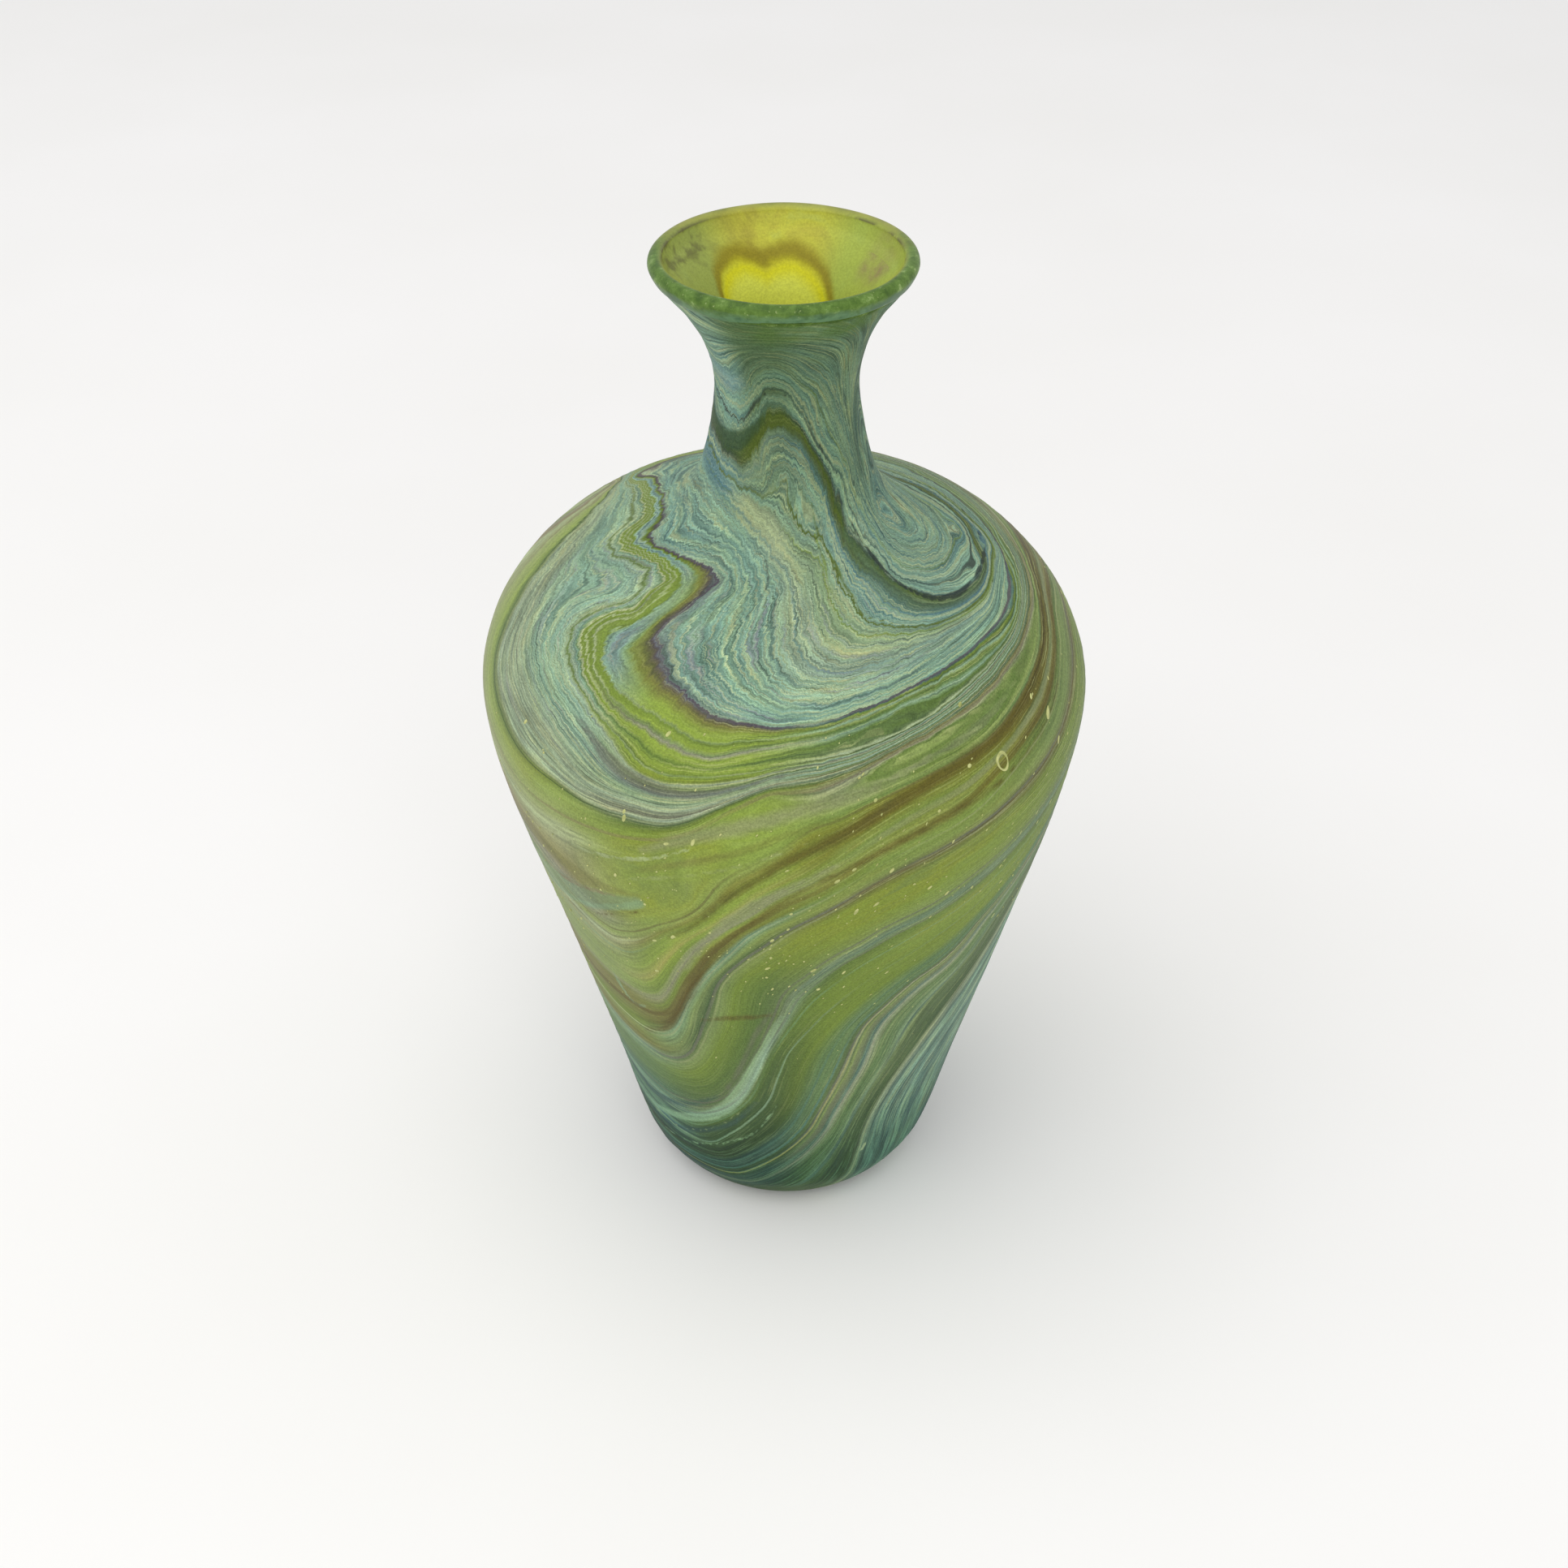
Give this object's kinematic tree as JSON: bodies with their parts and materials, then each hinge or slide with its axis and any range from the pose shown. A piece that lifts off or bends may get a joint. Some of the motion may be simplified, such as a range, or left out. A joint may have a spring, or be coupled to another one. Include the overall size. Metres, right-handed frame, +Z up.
{
  "type": "hand blown art glass vase",
  "caption": "Tall shouldered glass vase with a narrow neck, a flared mouth with a rounded bead, and a marbled matt surface; stands on a small flat ring.",
  "frame": {"origin": "centre of the foot, on the surface that the vase stands on", "axes": "+Z up along the vase's axis of revolution; the side seen in the picture faces -Y"},
  "size_m": [0.114, 0.114, 0.2],
  "materials": {
    "green_glass": "translucent, matt inside",
    "marbled_glass": "opaque to translucent marbled, etched matt",
    "bead_glass": "fire-polished, etched satin",
    "scar_glass": "broken and worn"
  },
  "bodies": {
    "root": {"inner_bubble": "green_glass", "marbled_overlay": "marbled_glass", "rim_bead": "bead_glass", "pontil_scar": "scar_glass"}
  },
  "joints": []
}
